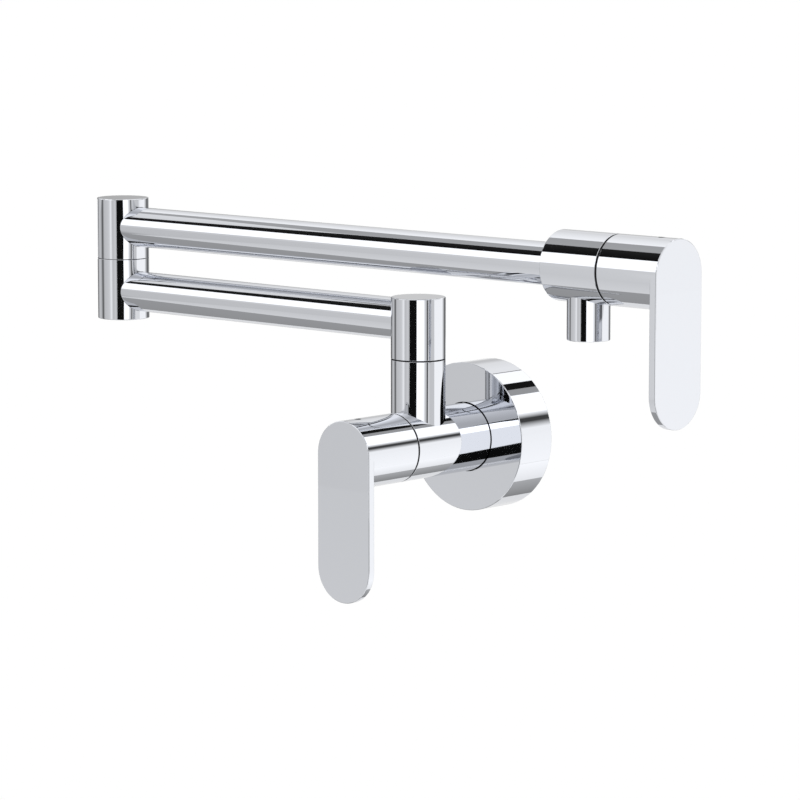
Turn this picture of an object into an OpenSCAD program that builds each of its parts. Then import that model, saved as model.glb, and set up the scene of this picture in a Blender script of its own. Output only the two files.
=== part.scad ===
// Wall-mounted pot filler: two folding arms, a quarter-turn valve at the wall
// and a second one at the spout. Origin at the middle of the wall flange, on
// the wall. X runs along the wall, Y goes into it and Z is up. The arms are
// drawn folded, both parallel to the wall, with both levers hanging (shut).

/* [Wall flange] */
// Diameter of the round flange that covers the hole in the wall
flange_d = 70; // [64:0.5:90]
// How far the flange stands out from the wall
flange_depth = 21.4; // [18:0.2:30]
// Thickness of the flange's rim
flange_wall = 2.4; // [1.6:0.1:4]
// Thickness of the flange's front face
flange_face_t = 3; // [2:0.1:4]
// Length of the collar inside the flange that grips the valve body
collar_l = 8; // [7:0.1:11]

/* [Valve bodies] */
// Diameter of both valve bodies and of both lever hubs
valve_d = 32; // [31:0.5:40]
// Distance from the wall to the riser's axis
riser_out = 54.4; // [48:0.2:80]
// Distance from a port's axis to the front face of its valve body
valve_nose = 16.3; // [14.5:0.1:22]
// Distance from the spout's axis to the back of its valve body
spout_valve_tail = 15.4; // [14.6:0.1:24]

/* [Arms] */
// Distance from the riser's axis to the elbow's axis
inner_reach = 197; // [120:1:300]
// Distance from the elbow's axis to the spout's axis
outer_reach = 299; // [240:1:400]
// Outer diameter of both arm tubes
tube_d = 19.5; // [16:0.1:20]
// Wall of both arm tubes
tube_wall = 1.5; // [1:0.1:2.4]

/* [Swivels] */
// Diameter of the riser and of the elbow
swivel_d = 25.4; // [24.8:0.1:30]
// Height of the riser's seam above the wall valve's axis
riser_seam = 39.7; // [30:0.1:60]
// Height of the inner arm's axis above the riser's seam
sleeve_rise = 17.9; // [16:0.1:24]
// Height of the sleeve's top above the inner arm's axis
sleeve_over = 11.1; // [10.8:0.1:20]
// Distance from the elbow's seam to the axis of either arm
elbow_rise = 15.9; // [14:0.1:24]
// Distance from an arm's axis to the end of its elbow half
elbow_over = 13.9; // [12.6:0.1:20]
// Gap that shows as a seam in the riser
riser_gap = 0.6; // [0.4:0.05:1.2]
// Gap that shows as a seam in the elbow
elbow_gap = 0.25; // [0.2:0.05:1.2]

/* [Spout] */
// Outer diameter of the spout
spout_d = 19.4; // [17:0.1:20]
// Distance from the outer arm's axis down to the spout's mouth
spout_drop = 32.4; // [30:0.2:60]
// Wall of the spout above its aerator
spout_wall = 2.2; // [1.6:0.1:3]

/* [Levers] */
// Length of a lever plate, top to bottom
lever_len = 84; // [60:1:120]
// Thickness of a lever plate
plate_t = 3.6; // [2.4:0.1:6]
// Depth of a lever, from the back of its hub to the front of its plate
lever_depth = 33.4; // [30:0.1:44]
// Gap between the wall valve and its lever hub
wall_lever_gap = 1; // [0.4:0.1:1.6]
// Gap between the spout valve and its lever hub
spout_lever_gap = 1.2; // [0.4:0.1:1.6]
// Wall of a lever hub round its hollow back
hub_wall = 2.8; // [2:0.1:3.2]

/* [Cartridges] */
// Diameter of a valve stem
stem_d = 9.2; // [7.5:0.1:10]
// Wall left round the thread in the mouth of a valve body
mouth_wall = 3.95; // [3.5:0.05:4.5]
// Step from that thread in to the cartridge's chamber
mouth_step = 2; // [1.2:0.1:2.4]
// Wall of a cartridge housing
housing_wall = 2.4; // [2:0.1:2.6]
// Thickness of one ceramic disc
disc_t = 2.5; // [2:0.1:3]

/* [Wall connection] */
// Bore of the inlet thread, half-inch pipe
inlet_bore_d = 18.6; // [17:0.1:20]
// Length of the inlet thread
inlet_thread_l = 14; // [10:0.5:18]

/* [Finish] */
// Radius of the softened outer edges
edge_r = 0.4; // [0.2:0.05:0.8]
// Radius of the crisper edges on both sides of a seam
seam_edge_r = 0.15; // [0.1:0.05:0.4]

/* [Hidden] */
$fn = 96;

// colours as the photograph shows them, or as such pieces are made
chrome = "#d9dbdf";
raw_brass = "#c9a45c";
black_rubber = "#1d1d1f";
white_ceramic = "#f2f0ea";
pale_nylon = "#cfcbc0";
dark_steel = "#5b5e63";

overrun = 1;           // how far a cut runs past the face it opens
arc_steps = 5;         // straight steps in a softened edge
braze_gap = 0.05;      // round a tube in its socket
screw_fit = 0.05;      // round a threaded piece in its hole
seat_fit = 0.1;        // round a piece that is pushed in by hand
run_fit = 0.08;        // round a post or a stem that turns in its bore
disc_gap = 0.05;       // between the two ceramic discs

flange_r = flange_d / 2;
valve_r = valve_d / 2;
tube_r = tube_d / 2;
tube_bore_r = tube_r - tube_wall;
swivel_r = swivel_d / 2;
spout_r = spout_d / 2;

// heights of the arms and places of the joints
inner_arm_z = riser_seam + sleeve_rise;
elbow_seam = inner_arm_z + elbow_rise;
outer_arm_z = elbow_seam + elbow_rise;
elbow_half = elbow_rise + elbow_over;
spout_x = outer_reach - inner_reach;

// flange collar and its ring
collar_wall = 4.5;
flange_ring = 2;
flange_ring_land = 0.8;
flange_mouth = 0.35;                  // the ring shows through this gap round the body
flange_bore_r = valve_r + seat_fit;
gasket_w = 3;
gasket_t = 2.5;

// inlet
screen_step = 0.7;                    // the screen sits in a step below the thread
screen_r = inlet_bore_d / 2 - screen_step;
screen_t = 1.5;
screen_web_t = 0.5;
screen_rim = 2.6;
screen_hole_d = 1.1;
screen_pitch = 1.9;
passage_r = 6;

// cartridge, measured from the port's axis towards the lever
mouth_r = valve_r - mouth_wall;
nut_r = mouth_r - screw_fit;
cavity_r = mouth_r - mouth_step;
housing_r = cavity_r - seat_fit;
chamber_r = housing_r - housing_wall;
disc_r = chamber_r - seat_fit;
stem_r = stem_d / 2;
seal_t = 1.6;
seal_w = 0.9;
cartridge_seat = 9;
housing_back = cartridge_seat - 2 * seat_fit;
fixed_disc_back = -cartridge_seat + seal_t;
moving_disc_back = fixed_disc_back + disc_t + disc_gap;
driver_back = moving_disc_back + disc_t;
driver_rim = 1;
driver_r = stem_r + driver_rim;
driver_t = 6.4;
driver_front = driver_back + driver_t;
housing_roof = driver_front + seat_fit;
housing_roof_t = 4.2;
housing_front = housing_roof + housing_roof_t;
neck_wall = 2.2;
neck_r = stem_r + run_fit + neck_wall;
nut_head = 4;
nut_head_r = nut_r;
neck_front = valve_nose + nut_head - 2 * seat_fit;
disc_port_r = 1.9;
disc_port_out = disc_r - disc_port_r - seal_w - 2 * seat_fit;
window_r = 2.6;
window_at = driver_front - window_r - 2 * seat_fit;
dog_w = 2.2;
dog_t = 1.2;
cartridge_ring = 1.2;
cartridge_ring_at = -cartridge_seat + 2 * cartridge_ring;
stem_ring = 1.2;
stem_ring_at = housing_roof + housing_roof_t / 2;

// lever hub
hub_hollow_r = valve_r - hub_wall;
hub_web = 12.7;                       // solid front of the hub, with the plate
hub_hollow = lever_depth - hub_web;
boss_wall = 3;
boss_r = stem_r + boss_wall;
stem_grip = 3;                        // the stem stops this far behind the front
lever_screw_d = 3;
lever_screw_l = 5;
lever_screw_inset = 9.8;
lever_screw_at = lever_depth - lever_screw_inset;
lever_socket_d = 1.7;
lever_socket_l = 2;
plate_drop = lever_len - valve_d;

// swivel posts, measured from the seam
post_wall = 3;                        // wall of the sleeve round the post
sleeve_bore_r = swivel_r - post_wall;
post_r = sleeve_bore_r - run_fit;
thread_step = 0.6;
post_thread_r = post_r - thread_step;
base_bore_r = post_thread_r + screw_fit;
post_grip = 6.6;
post_bore_r = 6.2;
ring_d = 1.4;
land = 0.5;
lock_groove_w = 2;
lock_groove_t = 1.5;
post_h = 3 * land + 2 * ring_d + lock_groove_w + land;
lock_at = post_h - land - lock_groove_w / 2;
grub_r = 1.2;
grub_dog_r = 0.8;
grub_inset = 0.3;
grub_socket_r = 0.6;
grub_socket_l = 1;
cap_t = 1.2;                          // metal over the end of a swivel bore

// how far from a swivel's axis a tube ends, inside the outer surface
seat_lap = 0.2;
tube_seat = sqrt(pow(swivel_r, 2) - pow(tube_r, 2)) - seat_lap;
tail_socket = 4;

// spout and aerator, measured down from the outer arm's axis
spout_seat = sqrt(pow(valve_r, 2) - pow(spout_r, 2)) - seat_lap;
spout_bore_r = spout_r - spout_wall;
aerator_l = 8.5;
aerator_inset = 0.5;
aerator_rim = 1;
aerator_r = spout_r - aerator_rim - screw_fit;
aerator_wall = 1.2;
aerator_washer_t = 1.2;
aerator_top = spout_drop - aerator_inset - aerator_l;
insert_t = 5;
insert_hole_r = 0.8;
insert_pitch = 2.3;

// A solid rod from height a to height b, with softened edges at its ends
module soft_rod(r, a, b, soft_a, soft_b) {
    rotate_extrude() polygon(concat(
        [[0, a]],
        soft_a == 0 ? [[r, a]] : [for (i = [0 : arc_steps])
            [r - soft_a + soft_a * sin(90 * i / arc_steps),
             a + soft_a - soft_a * cos(90 * i / arc_steps)]],
        soft_b == 0 ? [[r, b]] : [for (i = [0 : arc_steps])
            [r - soft_b + soft_b * cos(90 * i / arc_steps),
             b - soft_b + soft_b * sin(90 * i / arc_steps)]],
        [[0, b]]
    ));
}

// A plain rod from height a to height b
module rod(r, a, b) {
    translate([0, 0, a]) cylinder(r = r, h = b - a);
}

// A plain ring from height a to height b
module ring(outer, inner, a, b) {
    difference() {
        rod(outer, a, b);
        rod(inner, a - overrun, b + overrun);
    }
}

// A round rubber ring whose inside lies at radius r, centred on height z
module o_ring(r, thick, z) {
    translate([0, 0, z]) rotate_extrude() translate([r + thick / 2, 0]) circle(d = thick);
}

// A bar with softened long edges: thickness along X, width along Y
module soft_bar(thick, width, length, soft) {
    linear_extrude(length) polygon([
        for (corner = [0 : 3])
            for (i = [0 : arc_steps])
                [(corner == 0 || corner == 3 ? thick - soft : soft)
                     + soft * cos(90 * (corner * arc_steps + i) / arc_steps),
                 (corner < 2 ? width / 2 - soft : soft - width / 2)
                     + soft * sin(90 * (corner * arc_steps + i) / arc_steps)]
    ]);
}

// Places of round holes in a hexagonal pattern that stays within a radius
function hex_places(pitch, limit) = [
    for (row = [-4 : 4]) for (col = [-4 : 4])
        let (p = [(col + (row % 2 == 0 ? 0 : 1 / 2)) * pitch, row * pitch * sin(60)])
        if (norm(p) < limit) p
];

// Frames: each puts Z along the piece that it places
module wall_frame() rotate([90, 0, 0]) children();
module wall_valve_frame() translate([0, -riser_out, 0]) rotate([90, -90, 0]) children();
module riser_frame() translate([0, -riser_out, riser_seam]) children();
module elbow_frame() translate([-inner_reach, -riser_out, elbow_seam]) children();
module spout_valve_frame() {
    translate([spout_x, -riser_out, outer_arm_z]) rotate([0, 90, 0]) children();
}
module spout_frame() translate([spout_x, -riser_out, outer_arm_z]) rotate([180, 0, 0]) children();

// Along +X from the axis, at height z
module sideways(z) translate([0, 0, z]) rotate([0, 90, 0]) children();

// The hollow of a valve body: thread, cartridge chamber and the port at its side
module valve_hollow(port_end) {
    rod(mouth_r, housing_front, valve_nose + overrun);
    rod(cavity_r, -cartridge_seat, housing_front + overrun);
    sideways(0) rod(passage_r, 0, port_end);
}

module cartridge_housing() {
    difference() {
        union() {
            rod(housing_r, -housing_back, housing_front);
            rod(neck_r, -housing_back, neck_front);
        }
        rod(chamber_r, -cartridge_seat, housing_roof);
        rod(stem_r + run_fit, -cartridge_seat, neck_front + overrun);
        for (turn = [0 : 90 : 270])
            rotate([0, 0, turn]) sideways(window_at) rod(window_r, stem_r, housing_r + overrun);
        ring(housing_r + overrun, housing_r - cartridge_ring,
             cartridge_ring_at - cartridge_ring / 2 - seat_fit / 2,
             cartridge_ring_at + cartridge_ring / 2 + seat_fit / 2);
    }
}

module cartridge_oring() o_ring(housing_r - cartridge_ring, cartridge_ring, cartridge_ring_at);

module cartridge_seal() ring(disc_r, disc_r - seal_w, -cartridge_seat, fixed_disc_back);

// A ceramic disc with its two ports, the pair turned by the given angle
module ceramic_disc(back, turn) {
    difference() {
        rod(disc_r, back, back + disc_t);
        for (side = [0, 180]) rotate([0, 0, turn + side])
            translate([disc_port_out, 0, 0]) rod(disc_port_r, back - overrun, back + disc_t + overrun);
    }
}

module fixed_disc() ceramic_disc(fixed_disc_back, 0);

module drive_dogs(spare) {
    for (side = [-1, 1])
        translate([side * (driver_r - driver_rim) - driver_rim - spare,
                   -dog_w / 2 - spare, driver_back - dog_t - spare])
            cube([2 * (driver_rim + spare), dog_w + 2 * spare, dog_t + spare + overrun]);
}

module moving_disc() {
    difference() {
        ceramic_disc(moving_disc_back, 90);
        drive_dogs(seat_fit);
    }
}

module stem(gap) {
    difference() {
        union() {
            rod(driver_r, driver_back, driver_front);
            rod(stem_r, driver_back, valve_nose + gap + lever_depth - plate_t - stem_grip);
            drive_dogs(0);
        }
        ring(stem_r + overrun, stem_r - stem_ring,
             stem_ring_at - stem_ring / 2 - seat_fit / 2, stem_ring_at + stem_ring / 2 + seat_fit / 2);
    }
}

module stem_oring() o_ring(stem_r - stem_ring, stem_ring, stem_ring_at);

module bonnet_nut() {
    difference() {
        union() {
            rod(nut_r, housing_front, valve_nose);
            translate([0, 0, valve_nose]) cylinder(r = nut_head_r, h = nut_head, $fn = 6);
        }
        rod(neck_r + seat_fit, housing_front - overrun, valve_nose + nut_head + overrun);
    }
}

// One lever: hollow hub and stadium plate in one casting, hanging along -X
module lever(gap) {
    translate([0, 0, valve_nose + gap]) difference() {
        union() {
            soft_rod(valve_r, 0, lever_depth, seam_edge_r, edge_r);
            translate([-plate_drop, 0, lever_depth - plate_t])
                soft_rod(valve_r, 0, plate_t, edge_r, edge_r);
            translate([0, 0, lever_depth - plate_t]) rotate([0, -90, 0])
                soft_bar(plate_t, valve_d, plate_drop, edge_r);
        }
        ring(hub_hollow_r, boss_r, -overrun, hub_hollow);
        rod(boss_r + overrun, -overrun, nut_head + overrun);
        rod(stem_r + screw_fit, -overrun, lever_depth - plate_t - stem_grip + seat_fit);
        sideways(lever_screw_at) rod(lever_screw_d / 2 + screw_fit, 0, valve_r + overrun);
    }
}

module lever_screw(gap) {
    sideways(valve_nose + gap + lever_screw_at) difference() {
        rod(lever_screw_d / 2, stem_r + screw_fit, stem_r + screw_fit + lever_screw_l);
        translate([0, 0, stem_r + screw_fit + lever_screw_l - lever_socket_l])
            cylinder(d = lever_socket_d, h = lever_socket_l + overrun, $fn = 6);
    }
}

// The black washer between a valve body and its lever hub
module lever_washer(gap) {
    ring(valve_r - seam_edge_r, nut_head_r + seat_fit, valve_nose, valve_nose + gap - seat_fit);
}

module swivel_post() {
    difference() {
        union() {
            rod(post_thread_r, -post_grip, 0);
            rod(post_r, 0, post_h);
        }
        rod(post_bore_r, -post_grip - overrun, post_h + overrun);
        for (i = [0, 1])
            ring(post_r + overrun, post_r - ring_d,
                 land + i * (land + ring_d), land + ring_d + i * (land + ring_d));
        ring(post_r + overrun, post_r - lock_groove_t,
             lock_at - lock_groove_w / 2, lock_at + lock_groove_w / 2);
    }
}

module swivel_orings() {
    for (i = [0, 1]) o_ring(post_r - ring_d, ring_d, land + ring_d / 2 + i * (land + ring_d));
}

module swivel_washer(gap) ring(swivel_r - seam_edge_r, post_r + seat_fit, 0, gap - seat_fit);

// The grub screw whose dog point rides in the post's groove, on the wall side
module grub_screw() {
    rotate([0, 0, 90]) sideways(lock_at) difference() {
        union() {
            rod(grub_r, sleeve_bore_r + seat_fit, swivel_r - grub_inset);
            rod(grub_dog_r, post_r - lock_groove_t + 2 * seat_fit, swivel_r - grub_inset - grub_socket_l);
        }
        translate([0, 0, swivel_r - grub_inset - grub_socket_l])
            cylinder(r = grub_socket_r, h = grub_socket_l + overrun, $fn = 6);
    }
}

// The turning half of a swivel: bored for the post, closed at its top
module turning_half(gap, top) {
    difference() {
        soft_rod(swivel_r, gap, top, seam_edge_r, edge_r);
        rod(sleeve_bore_r, 0, top - cap_t);
        rotate([0, 0, 90]) sideways(lock_at)
            rod(grub_r + screw_fit, sleeve_bore_r - overrun, swivel_r + overrun);
    }
}

// A socket for an arm tube, cut along X in the given direction
module tube_socket(direction, z) {
    mirror([direction < 0 ? 1 : 0, 0, 0])
        sideways(z) rod(tube_r + braze_gap, tube_seat - braze_gap, swivel_r + overrun);
}

module wall_flange() {
    hollow_r = flange_r - flange_wall;
    color(chrome) wall_frame() difference() {
        soft_rod(flange_r, 0, flange_depth, edge_r, edge_r);
        ring(hollow_r, valve_r + collar_wall, -overrun, flange_depth - flange_face_t);
        rod(valve_r + collar_wall + overrun, -overrun, flange_depth - collar_l);
        rod(flange_bore_r, -overrun, flange_depth + overrun);
        rod(flange_bore_r + flange_ring, flange_depth - flange_ring_land - flange_ring,
            flange_depth - flange_ring_land);
        rod(flange_bore_r + flange_mouth, flange_depth - flange_ring_land - flange_ring,
            flange_depth + overrun);
    }
}

module wall_gasket() {
    outer = flange_r - flange_wall - seat_fit;
    color(black_rubber) wall_frame() ring(outer, outer - gasket_w, 0, gasket_t);
}

module flange_oring() {
    color(black_rubber) wall_frame()
        o_ring(flange_bore_r, flange_ring, flange_depth - flange_ring_land - flange_ring / 2);
}

module wall_valve_body() {
    color(chrome) difference() {
        union() {
            wall_valve_frame() soft_rod(valve_r, -riser_out, valve_nose, edge_r, seam_edge_r);
            riser_frame() soft_rod(swivel_r, -riser_seam, 0, 0, seam_edge_r);
        }
        wall_valve_frame() {
            valve_hollow(riser_seam);
            rod(passage_r, -riser_out - overrun, 0);
        }
        riser_frame() rod(base_bore_r, -post_grip - overrun, overrun);
        wall_frame() rod(inlet_bore_d / 2, -overrun, inlet_thread_l);
        wall_frame() rod(screen_r + seat_fit, inlet_thread_l - overrun, inlet_thread_l + screen_t);
    }
}

module inlet_screen() {
    top = inlet_thread_l + screen_t;
    color(dark_steel) wall_frame() difference() {
        rod(screen_r, inlet_thread_l, top);
        rod(screen_r - screen_rim, inlet_thread_l - overrun, top - screen_web_t);
        for (p = hex_places(screen_pitch, passage_r - screen_hole_d))
            translate([p[0], p[1], 0]) rod(screen_hole_d / 2, inlet_thread_l, top + overrun);
    }
}

module wall_cartridge_housing() color(raw_brass) wall_valve_frame() cartridge_housing();
module wall_cartridge_oring() color(black_rubber) wall_valve_frame() cartridge_oring();
module wall_cartridge_seal() color(black_rubber) wall_valve_frame() cartridge_seal();
module wall_fixed_disc() color(white_ceramic) wall_valve_frame() fixed_disc();
module wall_bonnet_nut() color(raw_brass) wall_valve_frame() bonnet_nut();
module wall_moving_disc() color(white_ceramic) wall_valve_frame() moving_disc();
module wall_stem() color(raw_brass) wall_valve_frame() stem(wall_lever_gap);
module wall_stem_oring() color(black_rubber) wall_valve_frame() stem_oring();
module wall_lever() color(chrome) wall_valve_frame() lever(wall_lever_gap);
module wall_lever_screw() color(dark_steel) wall_valve_frame() lever_screw(wall_lever_gap);
module wall_lever_washer() color(black_rubber) wall_valve_frame() lever_washer(wall_lever_gap);

module riser_post() color(raw_brass) riser_frame() swivel_post();
module riser_orings() color(black_rubber) riser_frame() swivel_orings();
module riser_washer() color(black_rubber) riser_frame() swivel_washer(riser_gap);

module inner_arm_sleeve() {
    color(chrome) riser_frame() difference() {
        turning_half(riser_gap, sleeve_rise + sleeve_over);
        tube_socket(-1, sleeve_rise);
    }
}

module sleeve_grub_screw() color(dark_steel) riser_frame() grub_screw();

module inner_arm_tube() {
    color(chrome) difference() {
        translate([-inner_reach + tube_seat, -riser_out, inner_arm_z])
            sideways(0) ring(tube_r, tube_bore_r, 0, inner_reach - 2 * tube_seat);
        riser_frame() rod(sleeve_bore_r, 0, sleeve_rise + sleeve_over);
        elbow_frame() rod(base_bore_r, -elbow_half, 0);
    }
}

module inner_arm_elbow() {
    color(chrome) elbow_frame() difference() {
        soft_rod(swivel_r, -elbow_half, 0, edge_r, seam_edge_r);
        rod(base_bore_r, -elbow_half + cap_t, overrun);
        tube_socket(1, -elbow_rise);
    }
}

module elbow_post() color(raw_brass) elbow_frame() swivel_post();
module elbow_orings() color(black_rubber) elbow_frame() swivel_orings();
module elbow_washer() color(black_rubber) elbow_frame() swivel_washer(elbow_gap);

module outer_arm_elbow() {
    color(chrome) elbow_frame() difference() {
        turning_half(elbow_gap, elbow_half);
        tube_socket(1, elbow_rise);
    }
}

module elbow_grub_screw() color(dark_steel) elbow_frame() grub_screw();

module outer_arm_tube() {
    tube_end = outer_reach - spout_valve_tail + tail_socket;
    color(chrome) difference() {
        translate([-inner_reach, -riser_out, outer_arm_z])
            sideways(0) ring(tube_r, tube_bore_r, tube_seat, tube_end);
        elbow_frame() rod(sleeve_bore_r, 0, elbow_half);
    }
}

module spout_valve_body() {
    color(chrome) difference() {
        spout_valve_frame() soft_rod(valve_r, -spout_valve_tail, valve_nose, edge_r, seam_edge_r);
        spout_valve_frame() {
            valve_hollow(valve_r + overrun);
            rod(tube_r + braze_gap, -spout_valve_tail - overrun, -spout_valve_tail + tail_socket);
            rod(passage_r, -spout_valve_tail, 0);
        }
        spout_frame() rod(spout_r + braze_gap, spout_seat, valve_r + overrun);
    }
}

module spout_outlet() {
    color(chrome) spout_frame() difference() {
        soft_rod(spout_r, spout_seat, spout_drop, 0, edge_r);
        rod(spout_bore_r, spout_seat - overrun, spout_drop + overrun);
        rod(aerator_r + screw_fit, aerator_top - aerator_washer_t, spout_drop + overrun);
    }
}

module aerator_washer() {
    color(black_rubber) spout_frame()
        ring(aerator_r, aerator_r - aerator_wall, aerator_top - aerator_washer_t, aerator_top);
}

module aerator_insert() {
    color(pale_nylon) spout_frame() difference() {
        rod(aerator_r - aerator_wall - seat_fit, aerator_top, aerator_top + insert_t);
        for (p = hex_places(insert_pitch, aerator_r - aerator_wall - 2 * insert_hole_r))
            translate([p[0], p[1], 0])
                rod(insert_hole_r, aerator_top - overrun, aerator_top + insert_t + overrun);
    }
}

module aerator_shell() {
    color(chrome) spout_frame() difference() {
        soft_rod(aerator_r, aerator_top, aerator_top + aerator_l, 0, edge_r);
        rod(aerator_r - aerator_wall, aerator_top - overrun, aerator_top + insert_t);
        rod(aerator_r - 2 * aerator_wall, aerator_top, aerator_top + aerator_l + overrun);
    }
}

module spout_cartridge_housing() color(raw_brass) spout_valve_frame() cartridge_housing();
module spout_cartridge_oring() color(black_rubber) spout_valve_frame() cartridge_oring();
module spout_cartridge_seal() color(black_rubber) spout_valve_frame() cartridge_seal();
module spout_fixed_disc() color(white_ceramic) spout_valve_frame() fixed_disc();
module spout_bonnet_nut() color(raw_brass) spout_valve_frame() bonnet_nut();
module spout_moving_disc() color(white_ceramic) spout_valve_frame() moving_disc();
module spout_stem() color(raw_brass) spout_valve_frame() stem(spout_lever_gap);
module spout_stem_oring() color(black_rubber) spout_valve_frame() stem_oring();
module spout_lever() {
    color(chrome) spout_valve_frame() rotate([0, 0, 180]) lever(spout_lever_gap);
}
module spout_lever_screw() {
    color(dark_steel) spout_valve_frame() rotate([0, 0, 180]) lever_screw(spout_lever_gap);
}
module spout_lever_washer() color(black_rubber) spout_valve_frame() lever_washer(spout_lever_gap);

wall_flange();
wall_gasket();
flange_oring();
wall_valve_body();
inlet_screen();
wall_cartridge_housing();
wall_cartridge_oring();
wall_cartridge_seal();
wall_fixed_disc();
wall_bonnet_nut();
wall_moving_disc();
wall_stem();
wall_stem_oring();
wall_lever();
wall_lever_screw();
wall_lever_washer();
riser_post();
riser_orings();
riser_washer();
inner_arm_sleeve();
sleeve_grub_screw();
inner_arm_tube();
inner_arm_elbow();
elbow_post();
elbow_orings();
elbow_washer();
outer_arm_elbow();
elbow_grub_screw();
outer_arm_tube();
spout_valve_body();
spout_outlet();
aerator_washer();
aerator_insert();
aerator_shell();
spout_cartridge_housing();
spout_cartridge_oring();
spout_cartridge_seal();
spout_fixed_disc();
spout_bonnet_nut();
spout_moving_disc();
spout_stem();
spout_stem_oring();
spout_lever();
spout_lever_screw();
spout_lever_washer();
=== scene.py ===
import math
import bmesh
import bpy
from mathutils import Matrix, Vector


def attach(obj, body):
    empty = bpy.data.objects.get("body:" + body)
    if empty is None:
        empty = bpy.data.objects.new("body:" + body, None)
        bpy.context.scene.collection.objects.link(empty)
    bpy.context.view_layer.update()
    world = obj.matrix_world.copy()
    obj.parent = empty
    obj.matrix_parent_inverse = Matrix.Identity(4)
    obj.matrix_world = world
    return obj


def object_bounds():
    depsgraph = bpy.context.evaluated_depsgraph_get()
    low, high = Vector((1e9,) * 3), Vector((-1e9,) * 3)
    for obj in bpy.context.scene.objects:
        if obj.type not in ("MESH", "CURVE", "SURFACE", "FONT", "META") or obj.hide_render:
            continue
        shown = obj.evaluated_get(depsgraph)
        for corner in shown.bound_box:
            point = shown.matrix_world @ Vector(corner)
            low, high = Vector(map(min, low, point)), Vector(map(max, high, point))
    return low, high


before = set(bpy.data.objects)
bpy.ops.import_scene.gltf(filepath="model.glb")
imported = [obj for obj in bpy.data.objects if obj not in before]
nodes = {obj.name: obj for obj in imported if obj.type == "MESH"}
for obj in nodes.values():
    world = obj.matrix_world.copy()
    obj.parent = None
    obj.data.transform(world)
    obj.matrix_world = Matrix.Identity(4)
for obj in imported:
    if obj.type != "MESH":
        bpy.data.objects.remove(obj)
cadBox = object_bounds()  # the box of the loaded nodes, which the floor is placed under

scene = bpy.context.scene
mm = 0.001
# the sockets of a mix node share their names, so they are picked by number
mixSocket = {"floatA": 2, "floatB": 3, "colourA": 6, "colourB": 7, "colourOut": 2}
print("frame loaded,", len(nodes), "nodes")


# colours are written as sRGB hex, Blender wants them linear
def toLinear(hexColour):
    parts = [int(hexColour[i:i + 2], 16) / 255 for i in (1, 3, 5)]
    return [p / 12.92 if p <= 0.04045 else ((p + 0.055) / 1.055) ** 2.4 for p in parts] + [1]


# adds one node: sockets holds a value or a link for each input, by its name or its number
def addNode(tree, kind, sockets=None, **settings):
    node = tree.nodes.new(kind)
    for name, value in settings.items():
        setattr(node, name, value)
    for name, value in (sockets or {}).items():
        if isinstance(value, bpy.types.NodeSocket):
            tree.links.new(value, node.inputs[name])
        else:
            node.inputs[name].default_value = value
    return node


# an empty material: gives its tree, its output node and a place on the surface in metres
def startMaterial(name):
    material = bpy.data.materials.new(name)
    material.use_nodes = True
    tree = material.node_tree
    tree.nodes.clear()
    output = addNode(tree, "ShaderNodeOutputMaterial")
    place = addNode(tree, "ShaderNodeTexCoord").outputs["Object"]
    return material, tree, output, place


# Bright chrome: nickel and chromium plated on polished brass. To the eye it is a cool mirror.
# Buffing leaves a haze that comes and goes over a centimetre, and a wave so shallow that it only
# makes long reflections run a little less than straight.
chromeLook = {
    "colour": "#dbdde2",
    "edgeTint": 0.88,
    "clearRoughness": 0.015,
    "hazyRoughness": 0.05,
    "hazeSize": 12 * mm,
    "hazeDetail": 3,
    "hazeGrain": 0.6,
    "hazeSpan": (0.35, 0.75),  # the noise values where it is clearest and haziest
    "waveSize": 9 * mm,
    "waveDepth": 0.002 * mm,
}


def makeChrome():
    look = chromeLook
    material, tree, output, place = startMaterial("brightChromePlate")
    haze = addNode(tree, "ShaderNodeTexNoise", {
        "Vector": place, "Scale": 1 / look["hazeSize"],
        "Detail": look["hazeDetail"], "Roughness": look["hazeGrain"]})
    roughness = addNode(tree, "ShaderNodeMapRange", {
        "Value": haze.outputs["Fac"],
        "From Min": look["hazeSpan"][0], "From Max": look["hazeSpan"][1],
        "To Min": look["clearRoughness"], "To Max": look["hazyRoughness"]})
    waves = addNode(tree, "ShaderNodeTexNoise", {
        "Vector": place, "Scale": 1 / look["waveSize"], "Detail": 0})
    bump = addNode(tree, "ShaderNodeBump", {
        "Height": waves.outputs["Fac"], "Distance": look["waveDepth"], "Strength": 1})
    surface = addNode(tree, "ShaderNodeBsdfPrincipled", {
        "Base Color": toLinear(look["colour"]), "Metallic": 1,
        "Specular Tint": [look["edgeTint"]] * 3 + [1],
        "Roughness": roughness.outputs["Result"], "Normal": bump.outputs["Normal"]})
    tree.links.new(surface.outputs["BSDF"], output.inputs["Surface"])
    return material


# Free-cutting brass, turned on a lathe and left bare. To the eye it is a warm satin metal with
# fine rings round the axis it was turned on, and a little browner where it has aged.
brassLook = {
    "fresh": "#cda860",
    "aged": "#a8823f",
    "agedSize": 9 * mm,
    "agedDetail": 4,
    "ringSpacing": 0.25 * mm,
    "ringWander": 0.4,
    "ringDetail": 1,
    "ringDepth": 0.002 * mm,
    "roughness": (0.22, 0.4),
}


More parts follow.
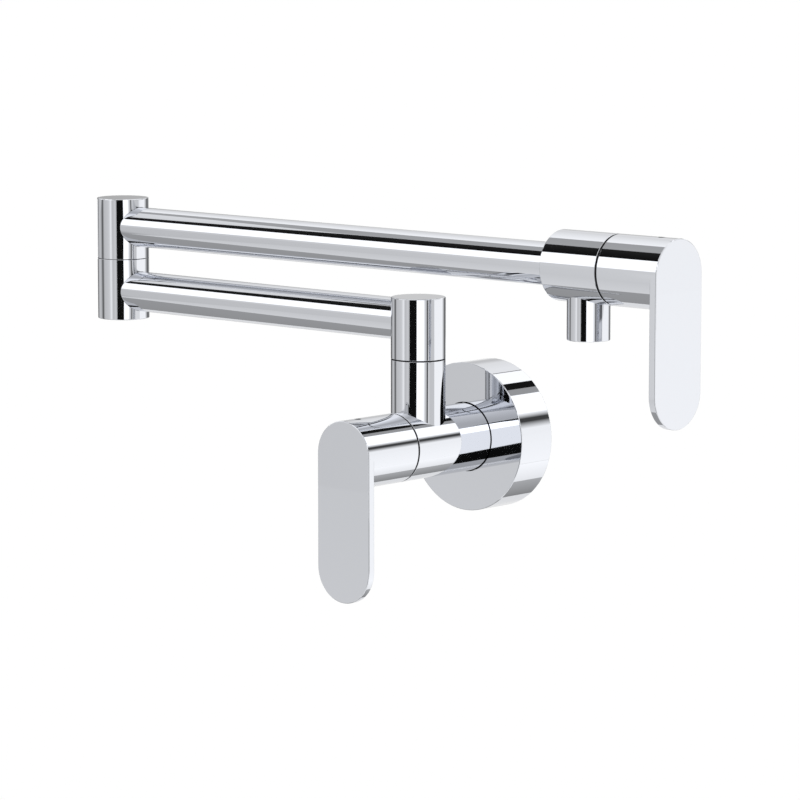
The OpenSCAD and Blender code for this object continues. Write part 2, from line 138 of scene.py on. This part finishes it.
def makeBrass(axis):
    look = brassLook
    waveTurn = 20  # radians that a band wave of scale 1 turns in a metre
    material, tree, output, place = startMaterial("turnedBrass" + axis)
    blotches = addNode(tree, "ShaderNodeTexNoise", {
        "Vector": place, "Scale": 1 / look["agedSize"], "Detail": look["agedDetail"]})
    colour = addNode(tree, "ShaderNodeMix", {
        "Factor": blotches.outputs["Fac"],
        mixSocket["colourA"]: toLinear(look["fresh"]),
        mixSocket["colourB"]: toLinear(look["aged"])}, data_type="RGBA")
    rings = addNode(tree, "ShaderNodeTexWave", {
        "Vector": place, "Scale": 2 * math.pi / (waveTurn * look["ringSpacing"]),
        "Distortion": look["ringWander"], "Detail": look["ringDetail"]},
        wave_type="BANDS", bands_direction=axis)
    roughness = addNode(tree, "ShaderNodeMapRange", {
        "Value": blotches.outputs["Fac"],
        "To Min": look["roughness"][0], "To Max": look["roughness"][1]})
    bump = addNode(tree, "ShaderNodeBump", {
        "Height": rings.outputs["Fac"], "Distance": look["ringDepth"], "Strength": 1})
    surface = addNode(tree, "ShaderNodeBsdfPrincipled", {
        "Base Color": colour.outputs[mixSocket["colourOut"]], "Metallic": 1,
        "Roughness": roughness.outputs["Result"], "Normal": bump.outputs["Normal"]})
    tree.links.new(surface.outputs["BSDF"], output.inputs["Surface"])
    return material


# Nitrile rubber, compression moulded. To the eye it is a dull near-black with a faint grey bloom.
rubberLook = {
    "colour": "#111113",
    "bloom": "#1b1b1d",
    "bloomSize": 5 * mm,
    "grainSize": 0.4 * mm,
    "grainDepth": 0.01 * mm,
    "roughness": (0.7, 0.9),
    "gloss": 0.15,
}

# Acetal, injection moulded. To the eye it is a cloudy off-white with a soft gloss.
acetalLook = {
    "colour": "#cfcbc0",
    "bloom": "#dad7cd",
    "bloomSize": 8 * mm,
    "grainSize": 0.5 * mm,
    "grainDepth": 0.004 * mm,
    "roughness": (0.3, 0.45),
    "gloss": 0.5,
}

# Alumina, sintered and lapped flat. To the eye it is a clean white with a dry satin gloss.
aluminaLook = {
    "colour": "#efede7",
    "bloom": "#e4e1d9",
    "bloomSize": 3 * mm,
    "grainSize": 0.2 * mm,
    "grainDepth": 0.001 * mm,
    "roughness": (0.18, 0.3),
    "gloss": 0.5,
}

mouldedDetail = {"bloom": 4, "grain": 2}


def makeMoulded(name, look):
    material, tree, output, place = startMaterial(name)
    clouds = addNode(tree, "ShaderNodeTexNoise", {
        "Vector": place, "Scale": 1 / look["bloomSize"], "Detail": mouldedDetail["bloom"]})
    colour = addNode(tree, "ShaderNodeMix", {
        "Factor": clouds.outputs["Fac"],
        mixSocket["colourA"]: toLinear(look["colour"]),
        mixSocket["colourB"]: toLinear(look["bloom"])}, data_type="RGBA")
    roughness = addNode(tree, "ShaderNodeMapRange", {
        "Value": clouds.outputs["Fac"],
        "To Min": look["roughness"][0], "To Max": look["roughness"][1]})
    grain = addNode(tree, "ShaderNodeTexNoise", {
        "Vector": place, "Scale": 1 / look["grainSize"], "Detail": mouldedDetail["grain"]})
    bump = addNode(tree, "ShaderNodeBump", {
        "Height": grain.outputs["Fac"], "Distance": look["grainDepth"], "Strength": 1})
    surface = addNode(tree, "ShaderNodeBsdfPrincipled", {
        "Base Color": colour.outputs[mixSocket["colourOut"]], "Specular IOR Level": look["gloss"],
        "Roughness": roughness.outputs["Result"], "Normal": bump.outputs["Normal"]})
    tree.links.new(surface.outputs["BSDF"], output.inputs["Surface"])
    return material


# Stainless steel, cold-headed and tumbled. To the eye it is a darker grey metal with a soft gleam
# that is broken up by small dents.
steelLook = {
    "colour": "#8b8e92",
    "dentSize": 0.6 * mm,
    "dentDetail": 3,
    "dentDepth": 0.01 * mm,
    "roughness": (0.2, 0.42),
}


def makeSteel():
    look = steelLook
    material, tree, output, place = startMaterial("tumbledStainlessSteel")
    dents = addNode(tree, "ShaderNodeTexNoise", {
        "Vector": place, "Scale": 1 / look["dentSize"], "Detail": look["dentDetail"]})
    roughness = addNode(tree, "ShaderNodeMapRange", {
        "Value": dents.outputs["Fac"],
        "To Min": look["roughness"][0], "To Max": look["roughness"][1]})
    bump = addNode(tree, "ShaderNodeBump", {
        "Height": dents.outputs["Fac"], "Distance": look["dentDepth"], "Strength": 1})
    surface = addNode(tree, "ShaderNodeBsdfPrincipled", {
        "Base Color": toLinear(look["colour"]), "Metallic": 1,
        "Roughness": roughness.outputs["Result"], "Normal": bump.outputs["Normal"]})
    tree.links.new(surface.outputs["BSDF"], output.inputs["Surface"])
    return material


chromePlate = makeChrome()
brassAlong = {axis: makeBrass(axis) for axis in "XYZ"}
nitrile = makeMoulded("mouldedNitrile", rubberLook)
acetal = makeMoulded("mouldedAcetal", acetalLook)
alumina = makeMoulded("lappedAlumina", aluminaLook)
stainless = makeSteel()

# the first word found in a node's name gives its finish and the record's slot for it
finishes = [
    ("cartridge_housing", None, "brass"), ("bonnet_nut", None, "brass"),
    ("grub_screw", stainless, "steel"), ("lever_screw", stainless, "steel"),
    ("inlet_screen", stainless, "steel"), ("stem_oring", nitrile, "rubber"),
    ("stem", None, "brass"), ("post", None, "brass"), ("oring", nitrile, "rubber"),
    ("gasket", nitrile, "rubber"), ("seal", nitrile, "rubber"),
    # the washers sit in the gaps at the lever hubs and riser joints: real washers, given near-black
    # rubber so that they also stand in for the painted shade in those gaps
    ("washer", nitrile, "rubber"), ("disc", alumina, "ceramic"), ("insert", acetal, "nylon"),
    ("", chromePlate, "chrome"),
]

for name, node in nodes.items():
    finish, slot = next((f, s) for word, f, s in finishes if word in name)
    if finish is None:  # turned brass: its rings run round the piece's own axis
        finish = brassAlong["Z" if "post" in name else "Y" if "wall" in name else "X"]
    node.data.materials.clear()
    node.data.materials.append(finish)
print("finishes given to", len(nodes), "nodes")


# the pipe thread in the inlet: a ridge wound along the bore, with a flank on each side
inletThread = {
    "body": "wall_unit",
    "boreRadius": 9.3 * mm,
    "pitch": 1.814 * mm,
    "ridgeHeight": 0.7 * mm,
    "leastShare": 0.02,  # of that height, where the ridge begins and ends
    "sink": 0.05 * mm,  # how far its foot lies inside the wall of the bore
    "start": 1.2 * mm,
    "length": 11.6 * mm,
    "stepsPerTurn": 64,
    "crestShare": 0.12,
}


def makeInletThread():
    look = inletThread
    shape = bmesh.new()
    turns = look["length"] / look["pitch"]
    steps = round(turns * look["stepsPerTurn"])
    outer = look["boreRadius"] + look["sink"]
    rings = []
    for i in range(steps + 1):
        turn = i / look["stepsPerTurn"]
        fade = min(1, turn, turns - turn + 1 / look["stepsPerTurn"])  # runs in and out over a turn
        depth = look["start"] + turn * look["pitch"]
        inner = look["boreRadius"] - look["ridgeHeight"] * max(fade, look["leastShare"])
        half = look["pitch"] / 2
        crest = half * look["crestShare"]
        profile = [(outer, -half), (inner, -crest), (inner, crest), (outer, half)]
        angle = 2 * math.pi * turn
        rings.append([shape.verts.new((r * math.cos(angle), -depth - along, r * math.sin(angle)))
                      for r, along in profile])
    for a, b in zip(rings, rings[1:]):
        for k in range(4):
            shape.faces.new((a[k], a[(k + 1) % 4], b[(k + 1) % 4], b[k]))
    shape.faces.new(rings[0])
    shape.faces.new(reversed(rings[-1]))
    bmesh.ops.recalc_face_normals(shape, faces=shape.faces)
    mesh = bpy.data.meshes.new("inletThread")
    shape.to_mesh(mesh)
    shape.free()
    thread = bpy.data.objects.new("inletThread", mesh)
    scene.collection.objects.link(thread)
    mesh.materials.append(brassAlong["Y"])
    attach(thread, look["body"])


makeInletThread()
print("inlet thread wound")


# The chrome in the photograph mirrors what looks like a light tent. This one is a guess at it: its
# places and levels are matched to the strips on the cylinders there, from this camera. The tent and
# its panels light nothing, and only mirror-like surfaces see them.
tent = {
    "middle": Vector((0, -0.055, 0.06)),
    "radius": 2.0,
    "segments": (96, 48),
    "horizonBand": (12, 22),  # degrees: between these heights the shades turn into the upper shades
    # bearing in degrees from +X towards +Y, and the brightness there
    "shades": [(-180, 0.71), (-170, 0.7), (-110, 0.85), (-60, 1.45), (-25, 1.4), (-20, 0.93),
               (-12, 0.5), (-10.5, 0.4), (-10, 0.02), (-7, 0.02), (-6.5, 0.9), (4, 0.73),
               (31, 0.75), (38, 1.1), (46, 1.19), (66, 1.19), (74, 1.02), (86, 0.5), (92, 0.27),
               (98, 0.12), (106, 0.2), (122, 0.58), (128, 0.72), (134, 0.76), (146, 0.33),
               (158, 0.05), (174, 0.58), (180, 0.71)],
    "upperShades": [(-180, 0.95), (-140, 1.2), (-100, 1.2), (-60, 0.7), (-20, 0.9), (0, 1.0),
                    (45, 1.2), (60, 1.25), (85, 1.05), (115, 1.1), (135, 0.95), (150, 0.95),
                    (180, 1.0)],
}


def shadeRamp(tree, bearing, stops):
    ramp = addNode(tree, "ShaderNodeValToRGB", {"Fac": bearing})
    elements = ramp.color_ramp.elements
    top = max(level for _, level in stops)
    for k, (angle, level) in enumerate(stops):
        position = (angle + 180) / 360
        element = elements[k] if k < 2 else elements.new(position)  # a ramp starts with two
        element.position = position
        element.color = [level / top] * 3 + [1]
    return addNode(tree, "ShaderNodeMath", {0: ramp.outputs["Color"], 1: top},
                   operation="MULTIPLY").outputs[0]


def seenOnlyInMirrors(panel):
    panel.visible_camera = False
    panel.visible_diffuse = False
    panel.visible_transmission = False
    panel.visible_volume_scatter = False
    panel.visible_shadow = False


def makeTent():
    look = tent
    material, tree, output, place = startMaterial("tentCloth")
    direction = addNode(tree, "ShaderNodeVectorMath", {0: place}, operation="NORMALIZE")
    part = addNode(tree, "ShaderNodeSeparateXYZ", {"Vector": direction.outputs["Vector"]})
    angle = addNode(tree, "ShaderNodeMath", {0: part.outputs["Y"], 1: part.outputs["X"]},
                    operation="ARCTAN2")
    bearing = addNode(tree, "ShaderNodeMapRange", {
        "Value": angle.outputs[0], "From Min": -math.pi, "From Max": math.pi}).outputs["Result"]
    height = addNode(tree, "ShaderNodeMath", {0: part.outputs["Z"]}, operation="ABSOLUTE")
    low, high = [math.sin(math.radians(d)) for d in look["horizonBand"]]
    above = addNode(tree, "ShaderNodeMapRange", {
        "Value": height.outputs[0], "From Min": low, "From Max": high},
        interpolation_type="SMOOTHSTEP")
    strength = addNode(tree, "ShaderNodeMix", {
        "Factor": above.outputs["Result"],
        mixSocket["floatA"]: shadeRamp(tree, bearing, look["shades"]),
        mixSocket["floatB"]: shadeRamp(tree, bearing, look["upperShades"])})
    glow = addNode(tree, "ShaderNodeEmission", {"Strength": strength.outputs["Result"]})
    tree.links.new(glow.outputs["Emission"], output.inputs["Surface"])
    shape = bmesh.new()
    around, upward = look["segments"]
    bmesh.ops.create_uvsphere(shape, u_segments=around, v_segments=upward, radius=look["radius"])
    mesh = bpy.data.meshes.new("tent")
    shape.to_mesh(mesh)
    shape.free()
    mesh.materials.append(material)
    cloth = bpy.data.objects.new("tent", mesh)
    cloth.location = look["middle"]
    scene.collection.objects.link(cloth)
    seenOnlyInMirrors(cloth)


# a panel is a strip of quads whose brightness runs evenly from its first side to its second
def makePanel(name, firstSide, secondSide, levels):
    material, tree, output, _ = startMaterial(name + "Glow")
    strength = levels[0]
    if levels[0] != levels[1]:
        across = addNode(tree, "ShaderNodeAttribute", attribute_name="across")
        strength = addNode(tree, "ShaderNodeMapRange", {
            "Value": across.outputs["Fac"],
            "To Min": levels[0], "To Max": levels[1]}).outputs["Result"]
    glow = addNode(tree, "ShaderNodeEmission", {"Strength": strength})
    tree.links.new(glow.outputs["Emission"], output.inputs["Surface"])
    mesh = bpy.data.meshes.new(name)
    count = len(firstSide)
    mesh.from_pydata([*firstSide, *secondSide], [],
                     [(k, k + 1, count + k + 1, count + k) for k in range(count - 1)])
    values = [0] * count + [1] * count
    mesh.attributes.new("across", "FLOAT", "POINT").data.foreach_set("value", values)
    mesh.materials.append(material)
    panel = bpy.data.objects.new(name, mesh)
    scene.collection.objects.link(panel)
    seenOnlyInMirrors(panel)


# Upright panels from the left round the front to the right, by their two ends in plan and the
# heights that they span. One without heights of its own spans uprightHeights. The small card and
# the two elbow strips stand close to the object, each for one reflection.
uprightHeights = (-1.0, 0.4)
uprightPanels = {
    "leftFade": {"plan": ((-0.37, -0.105), (-0.48, -0.228)), "levels": (0.69, 0.06),
                 "heights": (-0.1, 0.08)},
    "leftRise": {"plan": ((-0.48, -0.228), (-0.5, -0.343)), "levels": (0.06, 0.68),
                 "heights": (-0.1, 0.08)},
    "leftStrip": {"plan": ((-0.5, -0.343), (-0.49, -0.457)), "levels": (0.68, 0.71),
                  "heights": (-0.1, 0.1)},
    "leftCloth": {"plan": ((-0.49, -0.457), (-0.46, -0.8)), "levels": (0.71, 0.8),
                  "heights": (-0.3, 0.1)},
    "leftGlow": {"plan": ((-0.46, -0.8), (-0.37, -0.97)), "levels": (0.8, 1.12),
                 "heights": (-0.3, 0.1)},
    "smallCard": {"plan": ((-0.03, -0.032), (-0.03, 0.04)), "levels": (0.95, 0.95),
                  "heights": (0.012, 0.04)},  # the back of the right lever shows it in the spout
    "elbowLine": {"plan": ((-0.394, -0.03), (-0.397, -0.0474)), "levels": (0.1, 0.02),
                  "heights": (0.0535, 0.09)},  # these two are seen by the elbow's upper half only
    "elbowGlow": {"plan": ((-0.363, 0.0574), (-0.393, -0.0128)), "levels": (1.1, 1.0),
                  "heights": (0.0535, 0.09)},
    "frontFade": {"plan": ((-0.37, -0.97), (-0.24, -0.99)), "levels": (1.12, 0.7)},
    "frontCloth": {"plan": ((-0.24, -0.99), (0, -1.0)), "levels": (0.66, 0.8)},
    "lowFront": {"plan": ((-0.26, -0.93), (0.105, -0.93)), "levels": (0.6, 0.63),
                 "heights": (-1.05, -0.6)},
    "flagEdge": {"plan": ((0, -1.0), (0.09, -0.984)), "levels": (0.8, 0.42)},
    "blackFlag": {"plan": ((0.093, -0.984), (0.417, -0.634)), "levels": (0.006, 0.006)},
    "whiteSide": {"plan": ((0.75, -1.46), (1.6, -0.83)), "levels": (1.45, 1.45),
                  "heights": (-1.6, 0.42)},
    "whiteTop": {"plan": ((0.75, -1.46), (1.6, -0.83)), "levels": (2.5, 2.5),
                 "heights": (0.42, 0.79)},
}

# Panels that run along the arms (X). Each row of edges gives a place along X and the two angles
# there, round the outer arm, from straight out of the wall (0) towards the top (90).
armPanels = {
    "lowLeft": {"levels": (0.86, 0.77), "away": 0.42, "edges": [
        (-0.12, -62.5, -25), (-0.3, -62.5, -25), (-0.37, -59.5, -25), (-0.62, -38, -25)]},
    "topLeftWhite": {"levels": (1.5, 1.5), "away": 0.5, "edges": [
        (-0.15, 10, 44), (-0.5, 10, 44), (-0.62, 10, 45.5), (-1.6, 10, 45.5)]},
    "topLeftFlag": {"levels": (0.006, 0.02), "away": 0.5, "edges": [
        (-0.15, 44, 72), (-0.45, 44, 72.5), (-0.5, 44, 71.5), (-0.56, 44.8, 67), (-0.62, 45.5, 64),
        (-0.9, 45.5, 52)]},
    "topLeftGlow": {"levels": (0.9, 0.95), "away": 0.5, "edges": [
        (-0.45, 72.5, 72.6), (-0.5, 71.5, 73), (-0.56, 67, 81), (-0.62, 64, 90), (-0.9, 52, 99)]},
    "topGrey": {"levels": (0.48, 0.46), "away": 0.5, "edges": [
        (-0.15, 72, 99), (-0.45, 72.6, 100.3), (-0.5, 73, 102.3), (-0.56, 81, 104.5),
        (-0.62, 90, 106.5), (-0.9, 99, 107)]},
    "behindTop": {"levels": (1.24, 0.97), "away": 0.5, "edges": [
        (-0.15, 99, 140), (-0.45, 100.3, 140), (-0.5, 102.3, 140), (-0.56, 104.5, 140),
        (-0.62, 106.5, 140), (-0.9, 107, 140)]},
    "bottomGrey": {"levels": (0.39, 0.41), "away": 0.42, "edges": [
        (0.02, -111, -62.5), (-0.3, -111, -62.5), (-0.37, -111, -59.5), (-0.62, -111, -38),
        (-1.6, -111, -33)]},
}
armAxis = {"y": -0.0544, "z": 0.0894}

# Panels that run straight at the wall (Y), by the angles they span round the wall valve, from the
# right (0) towards the top (90).
wallPanels = {
    "rightWarmTop": {"span": (10, 20), "levels": (1.15, 0.09), "away": 0.9},
    "rightDark": {"span": (20, 25), "levels": (0.065, 0.065), "away": 0.9},
    "rightWarmRise": {"span": (25, 33), "levels": (0.065, 1.3), "away": 0.9},
    "rightWhite": {"span": (33, 63.5), "levels": (1.5, 1.5), "away": 0.9},
    "topRightGrey": {"span": (63.5, 74), "levels": (0.41, 0.41), "away": 0.9},
    "topFlag": {"span": (74, 86), "levels": (0.01, 0.01), "away": 0.9},
    "topBackWhite": {"span": (86, 110.5), "levels": (1.4, 1.4), "away": 0.9},
    "topBackSeam": {"span": (110.5, 112), "levels": (0.2, 0.2), "away": 0.9},
    "lowBackGrey": {"span": (-109, -74.5), "levels": (0.32, 0.54), "away": 0.45},
    "lowRight": {"span": (-74.5, -44), "levels": (1.1, 1.32), "away": 0.45},
    "lowerRight": {"span": (-44, 0), "levels": (1.28, 1.2), "away": 0.62},
}
wallAxis = {"x": 0.0, "z": 0.0, "from": 0.2, "to": 2.0}


def makePanels():
    for name, look in uprightPanels.items():
        heights = look.get("heights", uprightHeights)
        ends = [[Vector((x, y, z)) for z in heights] for x, y in look["plan"]]
        makePanel(name, *ends, look["levels"])
    for name, look in armPanels.items():
        sides = [[], []]
        for x, *pair in look["edges"]:
            for side, degrees in zip(sides, pair):
                a = math.radians(degrees)
                side.append(Vector((x, armAxis["y"] - look["away"] * math.cos(a),
                                    armAxis["z"] + look["away"] * math.sin(a))))
        makePanel(name, *sides, look["levels"])
    for name, look in wallPanels.items():
        sides = []
        for degrees in look["span"]:
            a = math.radians(degrees)
            x = wallAxis["x"] + look["away"] * math.cos(a)
            z = wallAxis["z"] + look["away"] * math.sin(a)
            sides.append([Vector((x, wallAxis[end], z)) for end in ("from", "to")])
        makePanel(name, *sides, look["levels"])


makeTent()
makePanels()
print("tent and panels made")


# a plain pale floor well below the arms, with the object's shadow on it
floorLook = {"colour": "#eeeeee", "below": 0.82, "size": 60.0}
keyLight = {"strength": 0.97, "width": 30, "bearing": 215, "height": 55}
worldLevel = 0.75


def whereBackgroundShows(tree):
    path = addNode(tree, "ShaderNodeLightPath")
    metal = addNode(tree, "ShaderNodeMath", {
        0: path.outputs["Is Camera Ray"], 1: path.outputs["Is Glossy Ray"]}, operation="MAXIMUM")
    return addNode(tree, "ShaderNodeMath", {
        0: metal.outputs[0], 1: path.outputs["Is Transmission Ray"]},
        operation="MAXIMUM").outputs[0]


def makeFloor():
    look = floorLook
    material, tree, output, _ = startMaterial("paleFloor")
    surface = addNode(tree, "ShaderNodeBsdfDiffuse", {"Color": toLinear(look["colour"])})
    missing = 1 - toLinear(look["colour"])[0]  # what the colour lacks of pure white
    lift = addNode(tree, "ShaderNodeMath", {0: whereBackgroundShows(tree), 1: missing},
                   operation="MULTIPLY")
    glow = addNode(tree, "ShaderNodeEmission", {"Strength": lift.outputs[0]})
    both = addNode(tree, "ShaderNodeAddShader", {
        0: surface.outputs["BSDF"], 1: glow.outputs["Emission"]})
    tree.links.new(both.outputs["Shader"], output.inputs["Surface"])
    half = look["size"] / 2
    z = cadBox[0].z - look["below"]
    mesh = bpy.data.meshes.new("floor")
    mesh.from_pydata([(-half, -half, z), (half, -half, z), (half, half, z), (-half, half, z)],
                     [], [(0, 1, 2, 3)])
    mesh.materials.append(material)
    floor = bpy.data.objects.new("floor", mesh)
    scene.collection.objects.link(floor)


def makeWorld():
    world = bpy.data.worlds.new("studio")
    scene.world = world
    world.use_nodes = True
    tree = world.node_tree
    tree.nodes.clear()
    strength = addNode(tree, "ShaderNodeMapRange", {
        "Value": whereBackgroundShows(tree), "To Min": worldLevel, "To Max": 1})
    sky = addNode(tree, "ShaderNodeBackground", {
        "Color": (1, 1, 1, 1), "Strength": strength.outputs["Result"]})
    output = addNode(tree, "ShaderNodeOutputWorld")
    tree.links.new(sky.outputs["Background"], output.inputs["Surface"])


def makeKeyLight():
    look = keyLight
    light = bpy.data.lights.new("softKey", "SUN")
    light.energy = look["strength"]
    light.angle = math.radians(look["width"])
    lamp = bpy.data.objects.new("softKey", light)
    bearing, height = math.radians(look["bearing"]), math.radians(look["height"])
    towards = Vector((math.cos(bearing) * math.cos(height), math.sin(bearing) * math.cos(height),
                      math.sin(height)))
    lamp.rotation_euler = towards.to_track_quat("Z", "Y").to_euler()
    lamp.visible_glossy = False
    scene.collection.objects.link(lamp)


# A camera at the photograph's viewing angle, as solved from the edges in it. The photograph keeps
# its uprights parallel, and this camera is tilted down instead, with no shift.
cameraLook = {
    "azimuth": 42.511,
    "pitch": 7.806,
    "distance": 1.851,
    "right": 45.2 * mm,  # how far the origin lies right of the line of sight
    "up": -14.97 * mm,
    "lens": 175.9,
    "sensor": 36,
    "clip": (0.05, 200),
}


def makeCamera():
    look = cameraLook
    data = bpy.data.cameras.new("camera")
    data.lens = look["lens"]
    data.sensor_width = look["sensor"]
    data.clip_start, data.clip_end = look["clip"]
    camera = bpy.data.objects.new("camera", data)
    azimuth, pitch = math.radians(look["azimuth"]), math.radians(look["pitch"])
    right = Vector((math.cos(azimuth), math.sin(azimuth), 0))
    ahead = Vector((-math.sin(azimuth) * math.cos(pitch), math.cos(azimuth) * math.cos(pitch),
                    -math.sin(pitch)))
    above = right.cross(ahead)
    camera.location = -(look["right"] * right + look["up"] * above + look["distance"] * ahead)
    camera.rotation_euler = (math.pi / 2 - pitch, 0, azimuth)
    scene.collection.objects.link(camera)
    scene.camera = camera


makeFloor()
makeWorld()
makeKeyLight()
makeCamera()
scene.view_settings.view_transform = "Standard"
print("floor, light and camera ready")
